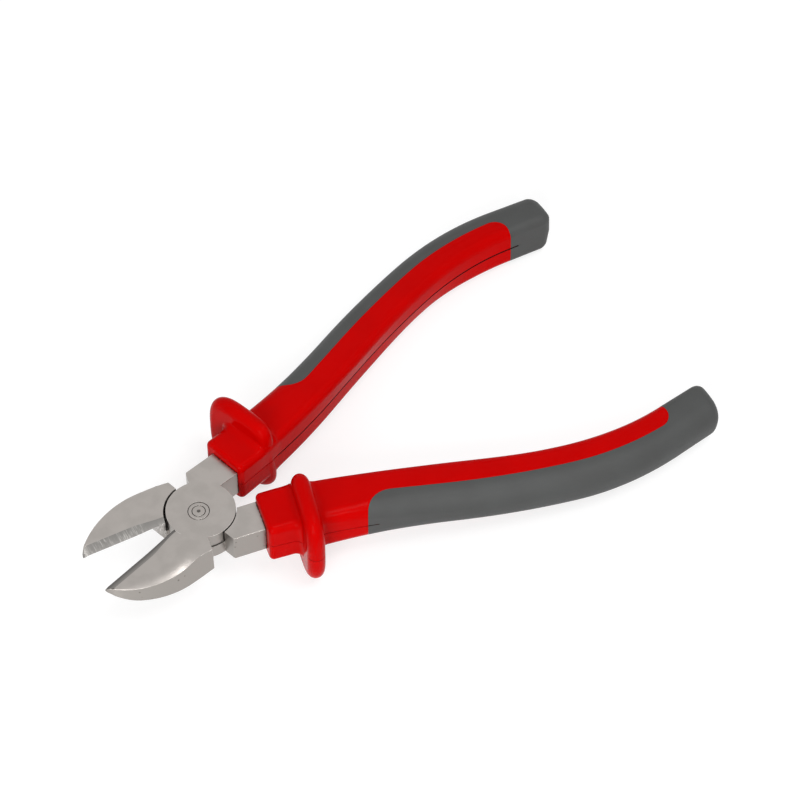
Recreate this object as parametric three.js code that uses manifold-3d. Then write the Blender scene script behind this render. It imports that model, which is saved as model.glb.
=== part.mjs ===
// Diagonal cutting pliers: two lapped steel levers on a flush pivot, with two-colour handles.
// Millimetres, +Z up. The origin is on the pivot axis, on the back face of the head.
// +X runs from the pivot to the handles and +Y to the rear handle.
// Each lever is drawn with the jaws shut and its handle at +Y, then mirrored and turned into place.
import * as THREE from 'three';
import { mergeVertices } from 'three/addons/utils/BufferGeometryUtils.js';
import Module from 'manifold-3d';

const wasm = await Module();
wasm.setup();

// Stance and fits
const JAW_OPENING = 21.2; // degrees between the levers as drawn
const CLEARANCE = 0.3; // between pieces that touch on the real tool
const CUT_OVERRUN = 2; // how far a cutting body runs past the face it cuts

// Lap joint
const HEAD_THICKNESS = 8;
const BOSS_RADIUS = 8.9;
const BOSS_SHIFT = 0.5; // the disc sits this far from the pivot, towards its handle
const BOSS_CLEARANCE = 0.3;
const RIVET_RADIUS = 1.62;
const RIVET_HEAD_RADIUS = 2.62;
const RIVET_HEAD_DEPTH = 2.2;
const RIVET_DIMPLE_RADIUS = 0.45;
const RIVET_DIMPLE_DEPTH = 0.25;
const COLLAR_RADIUS = 2.62;
const COLLAR_DEPTH = 2.2;

// Jaws, measured from the pivot to the tip and from the cutting line outwards
const JAW_LENGTH = 29;
const JAW_WIDTH = 11.1;
const JAW_FLAT_END = 11.9; // where the straight flank turns into the sweep
const JAW_SWEEP_RADIUS = 20.8;
const NOSE_LENGTH = 0.5;
const NOSE_NARROWING = 0.55;
const JAW_SHOULDER_X = 4.4;
const JAW_SHOULDER_FOOT_X = 3.1;
const JAW_TOP_SLOPE_START = 7.4;
const JAW_TOP_SLOPE = 9; // degrees
const JAW_BACK_SLOPE_START = 9.9;
const JAW_BACK_SLOPE = 4; // degrees
const EDGE_OFFSET = 0.1; // each cutting edge stays this far from the cutting line
const BEVEL_WIDTH = 1.9;
const BEVEL_HEIGHT = 1.55;
const BACK_BEVEL_ANGLE = 35; // degrees from the upright
const EDGE_ROOT = 10.8; // the back bevel is whole from here to the tip
const THROAT_ROOT = 8.5; // and fades out here, beside the disc
const JAW_TOP_ROUND = 0.9;
const JAW_BACK_ROUND = 0.6;
const TIP_EDGE_LEVEL = 0.2; // towards the tip the edge stays above this share of the jaw's height
const TIP_BEVEL_SHARE = 0.7; // and each bevel within this share of its width
const ROUND_SHARE = 0.4; // a rounded edge takes no more than this share of its faces

// Necks and tangs
const NECK_INNER = 2.3;
const NECK_OUTER = 11;
const NECK_SHOULDER_X = 5.3;
const NECK_FOOT_X = 3.8;
const NECK_CHAMFER = 0.4;
const TANG_SHIFT = 0.7; // the tang starts this far inwards of the handle's centreline
const TANG_SHIFT_RUN = 25;
const TANG_WIDTH = 7.4;
const TANG_HEIGHT = 6.6;
const TANG_END_WIDTH = 5;
const TANG_END_HEIGHT = 4.6;
const TANG_CORNER = 0.8;
const TANG_TO_HANDLE_END = 20;

// Handle centreline, from the front of the sleeve: an outward start, then arcs given by length and turn
const HANDLE_START_X = 14.1;
const HANDLE_START_Y = 7.35;
const HANDLE_START_SLOPE = 2.8; // degrees
const FLARE_LENGTH = 34;
const FLARE_TURN = 10.6;
const STRAIGHT_LENGTH = 12;
const PALM_LENGTH = 30;
const PALM_TURN = -7.2;
const HEEL_LENGTH = 28;
const HEEL_TURN = -22.2;
const TAIL_LENGTH = 14;

// Handle section
const SLEEVE_FRONT_WIDTH = 12.6;
const SLEEVE_FRONT_HEIGHT = 13.1;
const HANDLE_WIDTH = 12.2;
const HANDLE_HEIGHT = 12;
const SECTION_CHANGE_RUN = 46;
const TAIL_WIDTH = 11.2;
const TAIL_HEIGHT = 12.8;
const TAPER_START = 80; // along the centreline
const FRONT_CORNER = 2;
const INNER_CORNER = 2.8;
const OUTER_CORNER = 5.4;
const LEAST_CORNER = 0.9; // where the section draws in
const SLEEVE_MOUTH_ROUND = 1.2;
const HANDLE_END_ROUND = 3.2;

// Finger guard
const GUARD_AT = 10; // along the centreline
const GUARD_WIDTH = 21;
const GUARD_HEIGHT = 24.6;
const GUARD_THICKNESS = 4.5;
const GUARD_SHIFT = 3; // outwards of the centreline
const GUARD_FILLET = 1.4;
const GUARD_SQUARENESS = 3.2; // exponent of the oval, 2 is an ellipse

// Soft grip, a skin let into the sleeve
const GRIP_SKIN = 1.4;
const GRIP_START = 25.6; // along the centreline
const RED_PANEL_END = 105.4; // along the centreline
const GRIP_CORNER = 4;
const PANEL_DRAFT = 0.1; // slant of the red panel's end face

// Facets
const ROUND_SEGMENTS = 64;
const PIN_SEGMENTS = 40;
const JAW_STEP = 2.2;
const HANDLE_STEP = 5;
const CORNER_STEPS = 5;
const GUARD_SIDES = 40;
const RIM_STEPS = 6;
const ARC_SHARES = [0, 0.12, 0.45, 1]; // where a rounded edge has its sections, as shares of its radius

const steel = new THREE.MeshStandardMaterial({ color: 0xb0aca5, roughness: 0.38, metalness: 1 });
const pinSteel = new THREE.MeshStandardMaterial({ color: 0xa29e97, roughness: 0.42, metalness: 1 });
const redPlastic = new THREE.MeshStandardMaterial({ color: 0xc80507, roughness: 0.22, metalness: 0 });
const greyRubber = new THREE.MeshStandardMaterial({ color: 0x555655, roughness: 0.75, metalness: 0 });

const radians = THREE.MathUtils.degToRad;
const lerp = THREE.MathUtils.lerp;
const smooth = THREE.MathUtils.smoothstep;
const midHeight = HEAD_THICKNESS / 2;

// Solids from closed geometry, and geometry from solids

function solid(geometry) {
  const bare = geometry.clone();
  bare.deleteAttribute('normal');
  bare.deleteAttribute('uv');
  const merged = mergeVertices(bare, 1e-5);
  return new wasm.Manifold(new wasm.Mesh({
    numProp: 3,
    vertProperties: new Float32Array(merged.attributes.position.array),
    triVerts: new Uint32Array(merged.index.array),
  }));
}

function geometryOf(body) {
  const mesh = body.getMesh();
  const geometry = new THREE.BufferGeometry();
  geometry.setAttribute('position', new THREE.BufferAttribute(mesh.vertProperties, 3));
  geometry.setIndex(new THREE.BufferAttribute(mesh.triVerts, 1));
  geometry.computeVertexNormals();
  return geometry;
}

// The same shape on the other side of the cutting line, with its faces turned out again.
function mirrored(geometry) {
  const other = geometry.clone().scale(1, -1, 1);
  const corners = other.index.array;
  for (let i = 0; i < corners.length; i += 3) {
    [corners[i + 1], corners[i + 2]] = [corners[i + 2], corners[i + 1]];
  }
  other.computeVertexNormals();
  return other;
}

// A closed skin over sections with equal numbers of points, listed anticlockwise as seen from the far end.
function loft(sections) {
  const ring = sections[0].length;
  const points = sections.flat();
  const faces = [];
  for (let start = 0; start < points.length - ring; start += ring) {
    for (let j = 0; j < ring; j += 1) {
      const a = start + j;
      const b = start + ((j + 1) % ring);
      faces.push(a, b, b + ring, a, b + ring, a + ring);
    }
  }
  const lastRing = points.length - ring;
  const nearCentre = points.length;
  const farCentre = nearCentre + 1;
  for (let j = 0; j < ring; j += 1) {
    const next = (j + 1) % ring;
    faces.push(nearCentre, next, j);
    faces.push(farCentre, lastRing + j, lastRing + next);
  }
  for (const section of [sections[0], sections.at(-1)]) {
    const centre = section.reduce((sum, p) => sum.add(p), new THREE.Vector3());
    points.push(centre.divideScalar(ring));
  }
  const geometry = new THREE.BufferGeometry().setFromPoints(points);
  geometry.setIndex(faces);
  return geometry;
}

function cylinder(radius, low, high, segments, centre = new THREE.Vector2()) {
  const geometry = new THREE.CylinderGeometry(radius, radius, high - low, segments);
  geometry.rotateX(Math.PI / 2);
  geometry.translate(centre.x, centre.y, (low + high) / 2);
  return solid(geometry);
}

// Points of a quarter circle in a section plane, from one angle to the next.
function cornerArc(centreU, centreV, radius, fromAngle, steps) {
  return Array.from({ length: steps + 1 }, (unused, k) => {
    const angle = fromAngle + (Math.PI / 2) * (k / steps);
    return [centreU + radius * Math.cos(angle), centreV + radius * Math.sin(angle)];
  });
}

// A rectangle with one corner radius on its inner side and one on its outer side.
function roundedSection(inner, outer, halfHeight, innerRadius, outerRadius) {
  const steps = CORNER_STEPS;
  return [
    ...cornerArc(outer - outerRadius, halfHeight - outerRadius, outerRadius, 0, steps),
    ...cornerArc(inner + innerRadius, halfHeight - innerRadius, innerRadius, Math.PI / 2, steps),
    ...cornerArc(inner + innerRadius, innerRadius - halfHeight, innerRadius, Math.PI, steps),
    ...cornerArc(outer - outerRadius, outerRadius - halfHeight, outerRadius, -Math.PI / 2, steps),
  ];
}

// The handle's centreline, in plan

const handleArcs = [
  { length: FLARE_LENGTH, turn: FLARE_TURN },
  { length: STRAIGHT_LENGTH, turn: 0 },
  { length: PALM_LENGTH, turn: PALM_TURN },
  { length: HEEL_LENGTH, turn: HEEL_TURN },
  { length: TAIL_LENGTH, turn: 0 },
];
const handleLength = handleArcs.reduce((sum, arc) => sum + arc.length, 0);

// Place and heading at a distance along the centreline; it runs on straight past both ends.
function centreline(distance) {
  const place = new THREE.Vector2(HANDLE_START_X, HANDLE_START_Y);
  let heading = radians(HANDLE_START_SLOPE);
  let left = distance;
  const advance = (length, turn) => {
    const chordScale = turn === 0 ? 1 : Math.sin(turn / 2) / (turn / 2);
    const chordHeading = heading + turn / 2;
    place.x += length * chordScale * Math.cos(chordHeading);
    place.y += length * chordScale * Math.sin(chordHeading);
    heading += turn;
    left -= length;
  };
  for (const arc of handleArcs) {
    if (left <= 0) break;
    const length = Math.min(left, arc.length);
    advance(length, radians(arc.turn) * (length / arc.length));
  }
  if (left !== 0) advance(left, 0);
  return { place, heading };
}

// A point beside the centreline: outward is towards +Y on the lever as drawn.
function beside(distance, outward) {
  const { place, heading } = centreline(distance);
  return new THREE.Vector2(
    place.x - outward * Math.sin(heading),
    place.y + outward * Math.cos(heading),
  );
}

function sectionAt(distance, outline) {
  return outline.map(([outward, up]) => {
    const plan = beside(distance, outward);
    return new THREE.Vector3(plan.x, plan.y, midHeight + up);
  });
}

function evenly(from, to, step) {
  const count = Math.max(1, Math.round(Math.abs(to - from) / step));
  return Array.from({ length: count + 1 }, (unused, k) => lerp(from, to, k / count));
}

// Steel levers

// Half width of the half disc at a place along the tool.
function bossHalfWidth(x) {
  return Math.sqrt(BOSS_RADIUS ** 2 - (x - BOSS_SHIFT) ** 2);
}

// Width of a jaw at a distance from the pivot towards the tip.
function jawWidthAt(reach) {
  if (reach <= JAW_SHOULDER_FOOT_X) return bossHalfWidth(-reach);
  if (reach < JAW_FLAT_END) return JAW_WIDTH;
  const along = reach - JAW_FLAT_END;
  const sweep = JAW_WIDTH - JAW_SWEEP_RADIUS + Math.sqrt(JAW_SWEEP_RADIUS ** 2 - along ** 2);
  const toTip = Math.min(1, (JAW_LENGTH - reach) / NOSE_LENGTH);
  return sweep * lerp(1 - NOSE_NARROWING, 1, toTip);
}

function jawSection(reach) {
  const width = jawWidthAt(reach);
  const topDrop = Math.max(0, reach - JAW_TOP_SLOPE_START) * Math.tan(radians(JAW_TOP_SLOPE));
  const top = HEAD_THICKNESS - topDrop;
  const back = Math.max(0, reach - JAW_BACK_SLOPE_START) * Math.tan(radians(JAW_BACK_SLOPE));
  const edge = Math.max(top - BEVEL_HEIGHT, lerp(back, top, TIP_EDGE_LEVEL));
  const bevel = Math.min(BEVEL_WIDTH, width * TIP_BEVEL_SHARE);
  const throat = THREE.MathUtils.clamp((reach - THROAT_ROOT) / (EDGE_ROOT - THROAT_ROOT), 0, 1);
  const fullBackBevel = (edge - back) * Math.tan(radians(BACK_BEVEL_ANGLE));
  const backBevel = throat * Math.min(fullBackBevel, width * TIP_BEVEL_SHARE);
  const side = (top - back) * ROUND_SHARE;
  const topRound = Math.min(JAW_TOP_ROUND, (width - bevel) * ROUND_SHARE, side);
  const backRound = Math.min(JAW_BACK_ROUND, (width - backBevel) * ROUND_SHARE, side);
  const outline = [
    [-EDGE_OFFSET, edge],
    [-EDGE_OFFSET - bevel, top],
    ...cornerArc(topRound - width, top - topRound, topRound, Math.PI / 2, CORNER_STEPS),
    ...cornerArc(backRound - width, back + backRound, backRound, Math.PI, CORNER_STEPS),
    [-EDGE_OFFSET - backBevel, back],
  ];
  return outline.map(([across, up]) => new THREE.Vector3(-reach, across, up));
}

function jaw() {
  const noseEnd = JAW_LENGTH - NOSE_LENGTH;
  const reaches = [
    JAW_LENGTH,
    ...evenly(noseEnd, JAW_FLAT_END, JAW_STEP),
    EDGE_ROOT,
    THROAT_ROOT,
    JAW_TOP_SLOPE_START,
    JAW_SHOULDER_X,
    JAW_SHOULDER_FOOT_X,
    JAW_SHOULDER_FOOT_X / 2,
  ];
  return solid(loft(reaches.map(jawSection)));
}

function neck() {
  const end = HANDLE_START_X - CLEARANCE;
  const outline = new THREE.Shape();
  outline.moveTo(NECK_FOOT_X, bossHalfWidth(NECK_FOOT_X));
  outline.lineTo(BOSS_RADIUS / 2, NECK_INNER);
  outline.lineTo(end, NECK_INNER);
  outline.lineTo(end, NECK_OUTER);
  outline.lineTo(NECK_SHOULDER_X, NECK_OUTER);
  outline.closePath();
  const geometry = new THREE.ExtrudeGeometry(outline, {
    depth: HEAD_THICKNESS - 2 * NECK_CHAMFER,
    bevelThickness: NECK_CHAMFER,
    bevelSize: NECK_CHAMFER,
    bevelOffset: -NECK_CHAMFER,
    bevelSegments: 2,
  });
  geometry.translate(0, 0, NECK_CHAMFER);
  return solid(geometry);
}

// The tang inside the sleeve, or with a margin the pocket that holds it.
function tang(margin) {
  const end = handleLength - TANG_TO_HANDLE_END;
  const stations = evenly(-CUT_OVERRUN, end + margin, HANDLE_STEP * 2);
  return solid(loft(stations.map((distance) => {
    const share = THREE.MathUtils.clamp(distance / end, 0, 1);
    const shift = TANG_SHIFT * (1 - smooth(distance, 0, TANG_SHIFT_RUN));
    const halfWidth = lerp(TANG_WIDTH, TANG_END_WIDTH, share) / 2 + margin;
    const halfHeight = lerp(TANG_HEIGHT, TANG_END_HEIGHT, share) / 2 + margin;
    const corner = TANG_CORNER + margin;
    const outline = roundedSection(-halfWidth - shift, halfWidth - shift, halfHeight, corner, corner);
    return sectionAt(distance, outline);
  })));
}

// One forging. Its own half disc is the upper or the lower one; the other half is cut away to take the other lever.
function lever(ownsUpperHalf) {
  const discCentre = new THREE.Vector2(BOSS_SHIFT, 0);
  const disc = cylinder(BOSS_RADIUS, 0, HEAD_THICKNESS, ROUND_SEGMENTS, discCentre);
  // The recess is true to the other lever's disc as drawn, half way through the travel.
  const recessCentre = discCentre.clone().rotateAround(new THREE.Vector2(), -radians(JAW_OPENING));
  const recessRadius = BOSS_RADIUS + BOSS_CLEARANCE;
  const below = -CUT_OVERRUN;
  const above = HEAD_THICKNESS + CUT_OVERRUN;
  const recess = ownsUpperHalf
    ? cylinder(recessRadius, below, midHeight + CLEARANCE / 2, ROUND_SEGMENTS, recessCentre)
    : cylinder(recessRadius, midHeight - CLEARANCE / 2, above, ROUND_SEGMENTS, recessCentre);
  const bore = cylinder(RIVET_RADIUS + CLEARANCE, below, above, PIN_SEGMENTS);
  const collarSeat = HEAD_THICKNESS - COLLAR_DEPTH - CLEARANCE;
  const headSeat = RIVET_HEAD_DEPTH + CLEARANCE;
  const counterbore = ownsUpperHalf
    ? cylinder(COLLAR_RADIUS + CLEARANCE, collarSeat, above, PIN_SEGMENTS)
    : cylinder(RIVET_HEAD_RADIUS + CLEARANCE, below, headSeat, PIN_SEGMENTS);
  const forging = disc.add(jaw()).add(neck()).add(tang(0));
  return geometryOf(forging.subtract(recess).subtract(bore).subtract(counterbore));
}

// Pivot

function pivotRivet() {
  const profile = [
    [0, 0],
    [RIVET_HEAD_RADIUS, 0],
    [RIVET_HEAD_RADIUS, RIVET_HEAD_DEPTH],
    [RIVET_RADIUS, RIVET_HEAD_DEPTH],
    [RIVET_RADIUS, HEAD_THICKNESS],
    [RIVET_DIMPLE_RADIUS, HEAD_THICKNESS],
    [0, HEAD_THICKNESS - RIVET_DIMPLE_DEPTH],
  ];
  return revolved(profile);
}

function rivetCollar() {
  const bore = RIVET_RADIUS + CLEARANCE;
  const seat = HEAD_THICKNESS - COLLAR_DEPTH;
  const profile = [
    [bore, seat],
    [COLLAR_RADIUS, seat],
    [COLLAR_RADIUS, HEAD_THICKNESS],
    [bore, HEAD_THICKNESS],
    [bore, seat],
  ];
  return revolved(profile);
}

function revolved(profile) {
  const points = profile.map(([radius, height]) => new THREE.Vector2(radius, height));
  const geometry = new THREE.LatheGeometry(points, PIN_SEGMENTS);
  geometry.rotateX(Math.PI / 2);
  return geometryOf(solid(geometry));
}

// Handles

// How far the sleeve swells into the fillet beside the guard.
function guardFillet(distance) {
  const fromFace = Math.abs(distance - GUARD_AT) - GUARD_THICKNESS / 2;
  const left = THREE.MathUtils.clamp(GUARD_FILLET - fromFace, 0, GUARD_FILLET);
  return GUARD_FILLET - Math.sqrt(GUARD_FILLET ** 2 - left ** 2);
}

// How far the section draws in at the rounded mouth and end of a handle that runs from start to end.
function endRounding(distance, start, end) {
  const drawIn = (radius, fromEnd) => {
    const left = THREE.MathUtils.clamp(radius - fromEnd, 0, radius);
    return radius - Math.sqrt(radius ** 2 - left ** 2);
  };
  return drawIn(SLEEVE_MOUTH_ROUND, distance - start) + drawIn(HANDLE_END_ROUND, end - distance);
}

function handleSection(distance, inset, end) {
  const change = smooth(distance, 0, SECTION_CHANGE_RUN);
  const taper = smooth(distance, TAPER_START, handleLength);
  const swell = guardFillet(distance) - inset - endRounding(distance, 0, end);
  const width = lerp(lerp(SLEEVE_FRONT_WIDTH, HANDLE_WIDTH, change), TAIL_WIDTH, taper);
  const height = lerp(lerp(SLEEVE_FRONT_HEIGHT, HANDLE_HEIGHT, change), TAIL_HEIGHT, taper);
  const halfWidth = width / 2 + swell;
  const halfHeight = height / 2 + swell;
  const innerCorner = Math.max(lerp(FRONT_CORNER, INNER_CORNER, change) + swell, LEAST_CORNER);
  const outerCorner = Math.max(lerp(FRONT_CORNER, OUTER_CORNER, change) + swell, LEAST_CORNER);
  return sectionAt(distance, roundedSection(-halfWidth, halfWidth, halfHeight, innerCorner, outerCorner));
}

// Distances along the handle, closer together round the mouth, the guard's fillets and the end.
function handleStations(end) {
  const mouth = ARC_SHARES.map((share) => share * SLEEVE_MOUTH_ROUND);
  const fillet = ARC_SHARES.map((share) => GUARD_THICKNESS / 2 + share * GUARD_FILLET);
  const tail = ARC_SHARES.map((share) => end - share * HANDLE_END_ROUND).reverse();
  const guardEnd = GUARD_AT + fillet.at(-1);
  return [
    ...mouth,
    ...fillet.map((offset) => GUARD_AT - offset).reverse(),
    ...fillet.map((offset) => GUARD_AT + offset),
    ...evenly(guardEnd, tail[0], HANDLE_STEP).slice(1, -1),
    ...tail,
  ];
}

function handleBody(inset) {
  const end = handleLength - inset;
  return solid(loft(handleStations(end).map((distance) => handleSection(distance, inset, end))));
}

// The oval guard, square to the centreline, with a fully rounded rim.
function guard() {
  const half = GUARD_THICKNESS / 2;
  const sections = Array.from({ length: RIM_STEPS + 1 }, (unused, k) => {
    const angle = Math.PI * (k / RIM_STEPS);
    const rim = half * (1 - Math.sin(angle));
    const outline = Array.from({ length: GUARD_SIDES }, (unusedSide, j) => {
      const turn = (2 * Math.PI * j) / GUARD_SIDES;
      const power = 2 / GUARD_SQUARENESS;
      const across = Math.sign(Math.cos(turn)) * Math.abs(Math.cos(turn)) ** power;
      const up = Math.sign(Math.sin(turn)) * Math.abs(Math.sin(turn)) ** power;
      return [GUARD_SHIFT + (GUARD_WIDTH / 2 - rim) * across, (GUARD_HEIGHT / 2 - rim) * up];
    });
    return guardSection(GUARD_AT - half * Math.cos(angle), outline);
  });
  return solid(loft(sections));
}

// Guard sections share the heading at the guard's middle, so that the disc is flat.
function guardSection(distance, outline) {
  const { place, heading } = centreline(GUARD_AT);
  const along = distance - GUARD_AT;
  return outline.map(([outward, up]) => new THREE.Vector3(
    place.x + along * Math.cos(heading) - outward * Math.sin(heading),
    place.y + along * Math.sin(heading) + outward * Math.cos(heading),
    midHeight + up,
  ));
}

// The space that the soft grip takes: the outer half and the end of the handle, grown by a margin.
function gripRegion(margin) {
  const start = GRIP_START - margin;
  const panelEnd = RED_PANEL_END - margin;
  const startCorner = GRIP_CORNER + margin;
  const endCorner = GRIP_CORNER - margin;
  const side = HANDLE_WIDTH / 2 + CUT_OVERRUN;
  const half = HANDLE_HEIGHT / 2 + CUT_OVERRUN;
  const seam = evenly(start + startCorner, panelEnd - endCorner, HANDLE_STEP).slice(1, -1);
  const innerLimit = [
    ...cornerArc(start + startCorner, startCorner - margin, startCorner, Math.PI, CORNER_STEPS),
    ...seam.map((distance) => [distance, -margin]),
    ...cornerArc(panelEnd - endCorner, -margin - endCorner, endCorner, 0, CORNER_STEPS).reverse(),
    [panelEnd + PANEL_DRAFT, -side],
    [handleLength + CUT_OVERRUN, -side],
  ];
  return solid(loft(innerLimit.map(([distance, inner]) => (
    sectionAt(distance, [[side, -half], [side, half], [inner, half], [inner, -half]])
  ))));
}

function sleeve() {
  const rebate = gripRegion(CLEARANCE).subtract(handleBody(GRIP_SKIN + CLEARANCE));
  return geometryOf(handleBody(0).subtract(rebate).add(guard()).subtract(tang(CLEARANCE)));
}

function grip() {
  return geometryOf(handleBody(0).intersect(gripRegion(0)).subtract(handleBody(GRIP_SKIN)));
}

// Assembly

function piece(name, geometry, material) {
  const mesh = new THREE.Mesh(geometry, material);
  mesh.name = name;
  return mesh;
}

const sleeveShape = sleeve();
const gripShape = grip();

const rearHandleLever = new THREE.Group();
rearHandleLever.rotation.z = radians(JAW_OPENING / 2);
rearHandleLever.add(
  piece('front_jaw_lever', lever(true), steel),
  piece('rear_handle_sleeve', sleeveShape, redPlastic),
  piece('rear_handle_grip', gripShape, greyRubber),
);

const frontHandleLever = new THREE.Group();
frontHandleLever.rotation.z = -radians(JAW_OPENING / 2);
frontHandleLever.add(
  piece('rear_jaw_lever', mirrored(lever(false)), steel),
  piece('front_handle_sleeve', mirrored(sleeveShape), redPlastic),
  piece('front_handle_grip', mirrored(gripShape), greyRubber),
  piece('pivot_rivet', pivotRivet(), pinSteel),
  piece('rivet_collar', rivetCollar(), pinSteel),
);

const pliers = new THREE.Group();
pliers.add(rearHandleLever, frontHandleLever);

export default pliers;
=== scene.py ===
"""Diagonal cutting pliers: fine surfaces, finishes, light and camera in the part's own frame."""

import math

import bpy
import numpy as np
from mathutils import Matrix, Vector


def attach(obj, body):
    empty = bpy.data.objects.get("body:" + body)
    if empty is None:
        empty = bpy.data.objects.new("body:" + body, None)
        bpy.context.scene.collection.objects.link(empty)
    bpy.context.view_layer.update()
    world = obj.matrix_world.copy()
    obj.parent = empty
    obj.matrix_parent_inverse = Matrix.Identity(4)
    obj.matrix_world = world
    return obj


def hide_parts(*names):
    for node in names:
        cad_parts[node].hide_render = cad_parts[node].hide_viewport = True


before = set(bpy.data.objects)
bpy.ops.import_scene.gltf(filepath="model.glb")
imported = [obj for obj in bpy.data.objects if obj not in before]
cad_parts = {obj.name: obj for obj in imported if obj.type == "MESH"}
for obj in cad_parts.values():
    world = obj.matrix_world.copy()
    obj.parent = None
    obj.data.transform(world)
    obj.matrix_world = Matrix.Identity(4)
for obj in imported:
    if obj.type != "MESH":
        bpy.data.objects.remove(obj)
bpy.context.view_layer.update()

# Sizes are in millimetres and angles in degrees; pieces are scaled to metres when they are placed.
MM = 0.001

# Stance: each lever is drawn shut with its handle at +Y, then mirrored and turned into place.
JAW_OPENING = 21.2
FRONT_BODY = "front_handle_lever"
REAR_BODY = "rear_handle_lever"

# Lap joint
HEAD_THICKNESS = 8.0
MID_HEIGHT = HEAD_THICKNESS / 2
LAP_GAP = 0.12
BOSS_RADIUS = 8.52
BOSS_SHIFT = 0.65
BOSS_GAP = 0.38
RECESS_SHIFT = -0.26
BOSS_EDGE = 0.05
PIN_GAP = 0.16
RIVET_RADIUS = 1.54
RIVET_HEAD_RADIUS = 2.53
RIVET_HEAD_DEPTH = 2.2
DIMPLE_RADIUS = 0.46
DIMPLE_DEPTH = 0.3
COLLAR_RADIUS = 2.53
COLLAR_DEPTH = 2.2
PIN_EDGE = 0.05
CUT_OVERRUN = 2.0

# Jaws; the nose's stations are shares of its length from the tip
FRONT_JAW = "front_jaw"
REAR_JAW = "rear_jaw"
JAW_LENGTH = 29.45
JAW_WIDTH = {FRONT_JAW: 11.1, REAR_JAW: 10.8}
JAW_FLAT_END = 11.9
JAW_SWEEP_RADIUS = 20.8
NOSE_LENGTH = 1.0
NOSE_STATIONS = (0.0, 0.04, 0.15, 0.35, 0.65)
NOSE_NARROWING = 0.5
NOSE_DROP = 0.5
NOSE_LIFT = 1.8
NOSE_LIFT_RUN = 5.5
JAW_SHOULDER_X = {FRONT_JAW: 4.9, REAR_JAW: 4.1}
JAW_SHOULDER_RUN = 1.4
JAW_TOP_SLOPE_START = 7.4
JAW_TOP_SLOPE = 9.0
JAW_BACK_SLOPE_START = 9.9
JAW_BACK_SLOPE = 4.0
EDGE_OFFSET = {FRONT_JAW: 0.0, REAR_JAW: 0.1}
BEVEL_WIDTH = {FRONT_JAW: 1.9, REAR_JAW: 2.25}
BEVEL_ROOT_WIDTH = {FRONT_JAW: 0.9, REAR_JAW: 1.5}
BEVEL_FULL = 17.0
BEVEL_SLOPE = 0.467
BACK_BEVEL_ANGLE = 35.0
EDGE_ROOT = 10.8
THROAT_ROOT = 8.5
CROWN_WIDTH = 3.4
CROWN_DROP = {FRONT_JAW: 0.85, REAR_JAW: 0.0}
CROWN_RUN = 8.0
CROWN_STEPS = 8
WALL_LEAN = {FRONT_JAW: 1.1, REAR_JAW: 0.0}
LEAN_RUN = 5.0
JAW_BACK_ROUND = 0.6
TIP_EDGE_LEVEL = 0.2
TIP_BEVEL_SHARE = 0.7
ROUND_SHARE = 0.4

# Necks and tangs
NECK_INNER = 2.3
NECK_OUTER = 11.0
NECK_SHOULDER_X = 5.1
NECK_FOOT_X = 3.65
NECK_CORNER = 0.3
NECK_EDGE = 0.16
TANG_SHIFT = 0.7
TANG_SHIFT_RUN = 25.0
TANG_WIDTH = 7.4
TANG_HEIGHT = 6.6
TANG_END_WIDTH = 5.0
TANG_END_HEIGHT = 4.6
TANG_CORNER = 0.8
TANG_TO_HANDLE_END = 20.0
POCKET_GAP = 0.1

# Handle centreline: an outward start, then arcs given by length and turn
HANDLE_START_X = 14.1
HANDLE_START_Y = 7.35
HANDLE_START_SLOPE = 2.8
HANDLE_ARCS = ((34.0, 10.6), (12.0, 0.0), (30.0, -7.2), (28.0, -22.2), (13.85, 0.0))
HANDLE_LENGTH = sum(length for length, turn in HANDLE_ARCS)

# Handle section
SLEEVE_FRONT_WIDTH = 12.6
SLEEVE_FRONT_HEIGHT = 13.1
HANDLE_WIDTH = 12.2
HANDLE_HEIGHT = 12.0
SECTION_CHANGE_RUN = 46.0
TAIL_WIDTH = 11.2
TAIL_HEIGHT = 12.2
TAIL_LIFT = 0.8
TAIL_TILT = {REAR_BODY: 0.18, FRONT_BODY: 0.1}
TAIL_TURN = {REAR_BODY: 0.06, FRONT_BODY: 0.15}
TAIL_TILT_RUN = 7.0
TAPER_START = 80.0
FRONT_CORNER = 2.0
INNER_CORNER = 2.45
OUTER_CORNER = 5.4
LEAST_CORNER = 0.9
FACE_CROWN = 0.1
UPPER_LEAN = 0.85
UPPER_LEAN_AT = 47.0
UPPER_LEAN_RUN = 26.0
LOWER_LEAN = 0.85
LOWER_LEAN_AT = 73.0
LOWER_LEAN_RUN = 25.0
TAIL_LEAN = 0.35
TAIL_LEAN_START = 78.0
TAIL_LEAN_END = 106.0
SLEEVE_MOUTH_LEAD = {REAR_BODY: 0.0, FRONT_BODY: 0.55}
SLEEVE_MOUTH_ROUND = 1.2
HANDLE_END_ROUND = 2.9

# Finger guard
GUARD_AT = 10.0
GUARD_OUTER_REACH = 10.7
GUARD_INNER_REACH = 9.5
GUARD_HEIGHT = 24.6
GUARD_THICKNESS = 4.5
GUARD_SHIFT = 3.0
GUARD_FILLET = 2.2
GUARD_TOP_FILLET_SHARE = 0.65
GUARD_FLARE = 0.6
GUARD_FLARE_END = 4.5
GUARD_OUTER_SQUARENESS = 3.2
GUARD_INNER_SQUARENESS = 5.0
GUARD_SWEEP = 1.4
MOUTH_FLARE = 0.2

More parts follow.
